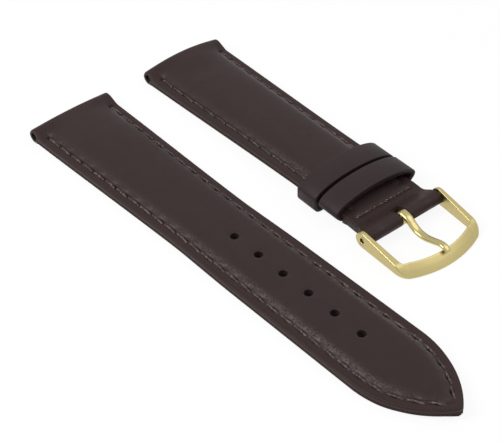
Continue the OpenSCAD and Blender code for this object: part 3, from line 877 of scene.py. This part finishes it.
def short_row(side, z, arch):
    first = row_start + stitch_pitch / 2
    last = first + (short_n - 1) * stitch_pitch
    row = []
    for i in range(201):
        x = mix(first, last, i / 200)
        y = side_w(x) - stitch_in
        row.append((x, side * y, z + lift(x) + nose_arch(x, y, side_w(x), arch)))
    return row


short_thread = sew("short_needle_stitches", [short_row(side, edge_t, short_arch) for side in (-1, 1)],
                   lay_short, stitch_pitch, stitch_len, short_needle_r, needle_dive, needle_slant,
                   seed=21, thread=thread_mat)
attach(short_thread, "strap")
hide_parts("short_needle_thread")
short_bobbin = sew("short_bobbin_stitches", [short_row(side, bobbin_z, 0.0) for side in (-1, 1)],
                   lay_short, stitch_pitch, stitch_len, bobbin_r, bobbin_dive, bobbin_slant,
                   seed=31, thread=thread_mat)
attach(short_bobbin, "strap")
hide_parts("short_bobbin_thread")

seam_mat = thread_material("seam_thread", (0.05, 0.03, 0.026), (0.26, 0.16, 0.125))
fine_pitch, fine_thread_r, fine_dive, fine_slant = 1.05, 0.13, 0.1, 0.35
fine_reach, fine_z = seam_n * seam_pitch / 2 - 0.2, fold_top(seam_x) - 0.22
fine_row = [(seam_x, mix(-fine_reach, fine_reach, i / 60), fine_z) for i in range(61)]
cross_seam = sew("cross_seam_stitches", [fine_row], lay_short, fine_pitch, fine_pitch * 0.98,
                 fine_thread_r, fine_dive, fine_slant, seed=5, thread=seam_mat)
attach(cross_seam, "strap")
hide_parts("cross_seam_thread")

# Keepers
# Two loops of leather, each an outer ply over a lining ply. The fixed one is sunk flush into the
# strap's underside; the free one slides along the strap and holds the end down.
ply_out_t, keeper_h = 0.7, 6.5
keeper_mid, keeper_corner, keeper_tuck = 3.3, 1.7, 0.5
ply_round, ply_n = 0.16, 240
plain_leather = (0.0, 8.0)


def keeper_point(angle, inset, low, corner):
    """Point of the keeper's outline whose outward direction has this angle: a flat arch on top, and
    round corners below."""
    n = Vector((math.cos(angle), math.sin(angle)))
    half, rise = keeper_side - inset, keeper_h - keeper_mid - inset
    reach = math.hypot(half * n.x, rise * n.y)
    best = Vector((half * half * n.x / reach, keeper_mid + rise * rise * n.y / reach))
    for side in (-1, 1):
        middle = Vector((side * (keeper_side - keeper_corner - corner), low + keeper_corner))
        point = middle + n * (keeper_corner - inset)
        if point.dot(n) > best.dot(n):
            best = point
    return best


def keeper_ply(name, x, outer, inner, low, corner, slack, material):
    """One ply as a band with its cut edges rounded, pushed to the far side by its slack on the
    strap. Its map keeps it clear of every stitch row."""
    r, half, wall = ply_round, keeper_len / 2, inner - outer
    edge = []
    for cx, ci, start in ((half - r, r, 0.0), (-half + r, r, math.pi / 2),
                          (-half + r, wall - r, math.pi), (half - r, wall - r, 1.5 * math.pi)):
        for k in range(4):
            a = start + k * math.pi / 6
            edge.append((cx + r * math.cos(a), outer + ci - r * math.sin(a)))
    sections = []
    for angle in turns(ply_n):
        points = [keeper_point(angle, inset, low, corner) for _, inset in edge]
        ring = [(x + dx, p.x + slack, p.y) for (dx, _), p in zip(edge, points)]
        sections.append((ring, [plain_leather] * len(ring)))
    return leather_piece(name, sections, lay_short, material, hoop=True)


keeper_calf = leather_material("keeper_calf", (0.036, 0.022, 0.022), (0.028, 0.017, 0.017), 0.5, 0.6)
keeper_inside = leather_material("keeper_lining", (0.02, 0.011, 0.01), (0.014, 0.008, 0.008), 0.8, 1.2)
fixed_slack, free_slack = 0.25, 0.05
for keeper, x, low, corner, slack, body in (
        ("fixed_keeper", fixed_x, lift(fixed_x), keeper_tuck, fixed_slack, "strap"),
        ("free_keeper", free_x, 0.0, 0.0, free_slack, "free_keeper")):
    outer_ply = keeper_ply(keeper + "_outer_ply", x, 0.0, ply_out_t, low, corner, slack, keeper_calf)
    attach(outer_ply, body)
    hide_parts(keeper + "_outer")
    inner_ply = keeper_ply(keeper + "_lining_ply", x, ply_out_t, band_t, low, corner, slack,
                           keeper_inside)
    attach(inner_ply, body)
    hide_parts(keeper + "_lining")

# Spring bar
# A thin steel tube with a sprung pin at each end, whose tips sit in the buckle's ears. The CAD's
# tube and pins are exact, so they stay and only get their finish; the spring is coiled again in two
# halves, since each pin squeezes its own.
steel, tree, shader, place = node_material("bar_steel")
wire(tree, shader, {"Base Color": (0.62, 0.56, 0.42, 1.0), "Metallic": 1.0,
                    "Roughness": spread(tree, noise(tree, place, 1800.0), 0.22, 0.38)})
for name in ("spring_bar_tube", "spring_bar_pin_left", "spring_bar_pin_right"):
    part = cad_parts[name]
    part.data.materials.clear()
    part.data.materials.append(steel)


def metal_piece(name, rings, ridges, place, material):
    """A metal piece through rings, with each ring point's ridge share kept as an attribute."""
    mesh = ring_mesh(name, rings, place)
    shine = mesh.attributes.new("ridge", "FLOAT", "POINT")
    for i, value in enumerate(v for ring in ridges for v in ring):
        shine.data[i].value = value
    return smooth_piece(name, mesh, material)


spring_half, spring_turns, turn_n, wire_d, wire_n, spring_r = 7.0, 9, 14, 0.2, 8, 0.48
wire_r = wire_d / 2
bar_place = lay_short @ Matrix.Translation(bar_middle)
for side, joint in ((-1, "pin_left_slide"), (1, "pin_right_slide")):
    rings = []
    for i in range(spring_turns * turn_n + 1):
        a = 2 * math.pi * i / turn_n
        y = side * mix(wire_r + 0.01, spring_half - wire_r - 0.02, i / (spring_turns * turn_n))
        ring = []
        for b in turns(wire_n):
            out = spring_r + wire_r * math.cos(b)
            ring.append((out * math.cos(a), y + wire_r * math.sin(b), out * math.sin(a)))
        rings.append(ring)
    coil = metal_piece(joint.replace("pin", "spring").replace("_slide", "_half"), rings,
                       [[0.0] * wire_n] * len(rings), bar_place, steel)
    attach(coil, "strap")
    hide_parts("spring_bar_spring")
    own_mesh(coil)

# Buckle
# A gilt casting, satin on its faces and polished along its ridges: two flat arms with round ears and
# a bowed front bar that slopes to the front. It hangs from the spring bar and rests on the table.
window_w, arm_t, ear_t, ear_h, front_h, front_w, buckle_reach = 18.4, 1.4, 0.9, 3.6, 2.2, 2.5, 14.0
bow_r, corner_r, ear_bore_r = 21.6, 2.5, 0.55
arm_mid = window_w / 2 + arm_t / 2
front_mid = buckle_reach - front_w / 2
bow_c = front_mid - bow_r
corner_v = arm_mid - corner_r
corner_u = bow_c + math.sqrt((bow_r - corner_r) ** 2 - corner_v ** 2)
corner_turn = math.atan2(corner_v, corner_u - bow_c)
buckle_droop = math.asin((bar_z - front_h / 2) / buckle_reach)
at_bar = bar_place @ Matrix.Rotation(buckle_droop, 4, "Y")
ear_steps, arm_gap, corner_steps, bow_steps = 14, 0.35, 32, 40
round_steps, round_most = 6, 0.45


def frame_path():
    """Middle line of the frame, with the angle of its outward side, from ear to ear."""
    quarter = math.pi / 2
    half = [(-ear_h / 2 * math.cos(quarter * i / ear_steps), arm_mid, quarter)
            for i in range(1, ear_steps)]
    half += [(u, arm_mid, quarter) for u in steps(0, corner_u, arm_gap)]
    for i in range(corner_steps + 1):
        a = mix(quarter, corner_turn, i / corner_steps)
        half.append((corner_u + corner_r * math.cos(a), corner_v + corner_r * math.sin(a), a))
    for i in range(1, bow_steps + 1):
        a = mix(corner_turn, 0, i / bow_steps)
        half.append((bow_c + bow_r * math.cos(a), bow_r * math.sin(a), a))
    return half + [(u, -v, -a) for u, v, a in reversed(half[:-1])]


def rounded(corners, radii, shines):
    """A closed section with rounded corners; each point says how polished it is."""
    points = []
    for i, (corner, r, shine) in enumerate(zip(corners, radii, shines)):
        p, a, b = Vector(corner), Vector(corners[i - 1]), Vector(corners[(i + 1) % len(corners)])
        da, db = (a - p).normalized(), (b - p).normalized()
        reach = min(r / math.tan(da.angle(db) / 2), (a - p).length * round_most,
                    (b - p).length * round_most)
        for k in range(round_steps):
            t = k / (round_steps - 1)
            q = (p + da * reach) * (1 - t) ** 2 + p * 2 * t * (1 - t) + (p + db * reach) * t ** 2
            points.append((q.x, q.y, shine if 0 < k < round_steps - 1 else 0.0))
    return points


ear_slope, front_slope, shallow = 0.12, 1.88, 0.53


def frame_section(u, a):
    """Section of the frame, from the inner bottom edge outward and back over the top."""
    front = 1 - ease((abs(a) - corner_turn) / (math.pi / 2 - corner_turn))
    along = min(1.0, max(0.0, u / corner_u))
    w = mix(arm_t, front_w, front) / 2
    h = mix(mix(ear_h, front_h, along), front_h, front) / 2
    drop = mix(ear_slope, front_slope, front)
    if u < 0:
        h = math.sqrt(max(0.0, (ear_h / 2) ** 2 - u * u))
        drop = min(drop, h * 0.5)
    inner = mix(arm_t / 2 - mix(ear_t, arm_t, along), -w, front)
    corners = [(inner, -h), (w, -h), (w, h - drop), (mix(inner, w, 0.55), h - drop * shallow),
               (inner, h)]
    radii = [0.2, 0.2, mix(0.4, 0.25, front), 1.4, 0.22]
    return rounded(corners, radii, [0, 0, mix(0, 0.8, front), 0, 0])


def gilt_material(name, tint, satin, polish):
    """Pale gilt over brass: fine satin brushing on the faces, bright along the ridges."""
    mat, tree, shader, place = node_material(name)
    stretch = add_node(tree, "ShaderNodeMapping", {"Vector": place, "Scale": (1.0, 0.25, 1.0)})
    brush = noise(tree, stretch.outputs["Vector"], 6000.0)
    ridge = add_node(tree, "ShaderNodeAttribute", {}, attribute_name="ridge").outputs["Fac"]
    bright = (tint[0] * 1.1, tint[1] * 1.1, tint[2] * 1.2)
    wire(tree, shader, {"Base Color": blend(tree, brush, tint, bright), "Metallic": 1.0,
                        "Roughness": spread(tree, ridge, satin, polish),
                        "Normal": relief(tree, brush, 0.05, 0.00002)})
    return mat


gilt = gilt_material("gilt_satin", (0.56, 0.47, 0.205), 0.36, 0.2)
# Painted shade: a dark gilt for the ear bores' walls, standing in for the shade inside the bores.
painted_shade_gilt = gilt_material("gilt_painted_bore_shade", (0.1, 0.075, 0.03), 0.5, 0.4)
rings, ridges = [], []
for u, v, a in frame_path():
    section = frame_section(u, a)
    rings.append([(u + q * math.cos(a), v + q * math.sin(a), z) for q, z, _ in section])
    ridges.append([shine for _, _, shine in section])
buckle = metal_piece("buckle_casting", rings, ridges, at_bar, gilt)
ear_span = window_w + 2 * arm_t + 2
cut(buckle, bore_cutter("ear_bore", ear_span, ear_bore_r, bar_middle, lay_short, painted_shade_gilt))
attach(buckle, "buckle_frame")
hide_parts("buckle_frame")

tongue_w, tongue_t, tongue_eye_r, tongue_reach = 1.85, 1.1, 1.4, 12.7
tongue_high = front_h / 2 + tongue_t / 2
tongue_shares = [(0, 0.75), (0.12, 0.68), (0.25, 0.18), (0.38, -0.1), (0.53, 0), (0.68, 0.45),
                 (0.83, 0.95), (0.92, 0.99), (1, 0.66)]
tongue_n, tongue_taper, tongue_flat, blunt_from, least_size = 28, 0.78, 0.8, 0.96, 0.02
tongue_ridge, ridge_w, least_shine = 3 * math.pi / 4, 0.4, 0.3


def spline(points, i, t):
    """Point of a smooth line through the points, this share of the way from point i to the next."""
    a, b = points[max(0, i - 1)], points[i]
    c, d = points[i + 1], points[min(len(points) - 1, i + 2)]
    return tuple((2 * q + (r - p) * t + (2 * p - 5 * q + 4 * r - s) * t * t
                  + (3 * q - p - 3 * r + s) * t ** 3) / 2 for p, q, r, s in zip(a, b, c, d))


def squared(value):
    """A sine or cosine pushed out, so that a round section gets flatter sides."""
    return math.copysign(abs(value) ** tongue_flat, value)


line = [spline(tongue_shares, i, k / 10) for i in range(len(tongue_shares) - 1) for k in range(10)]
line.append(tongue_shares[-1])
line = [(x * tongue_reach, z * tongue_high) for x, z in line]
rings, ridges = [], []
for i, (x, z) in enumerate(line):
    x0, z0 = line[max(0, i - 1)]
    x1, z1 = line[min(len(line) - 1, i + 1)]
    a = math.atan2(z1 - z0, x1 - x0)
    share = i / (len(line) - 1)
    blunt = max(0.0, (share - blunt_from) / (1 - blunt_from))
    size = mix(1, tongue_taper, ease(share)) * math.sqrt(max(least_size, 1 - blunt ** 2))
    ring, shines = [], []
    for b in turns(tongue_n):
        y = size * tongue_w / 2 * squared(math.cos(b))
        w = size * tongue_t / 2 * squared(math.sin(b))
        ring.append((x - w * math.sin(a), y, z + w * math.cos(a)))
        shines.append(bell((b - tongue_ridge) / ridge_w) + least_shine)
    rings.append(ring)
    ridges.append(shines)
tongue = metal_piece("tongue_casting", rings, ridges, at_bar, gilt)
cut(tongue, bore_cutter("tongue_eye", tongue_w, tongue_eye_r, bar_middle, lay_short, gilt),
    operation="UNION")
cut(tongue, bore_cutter("tongue_bore", tongue_w + 2, loop_bore_r, bar_middle, lay_short, gilt))
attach(tongue, "buckle_tongue")
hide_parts("buckle_tongue")
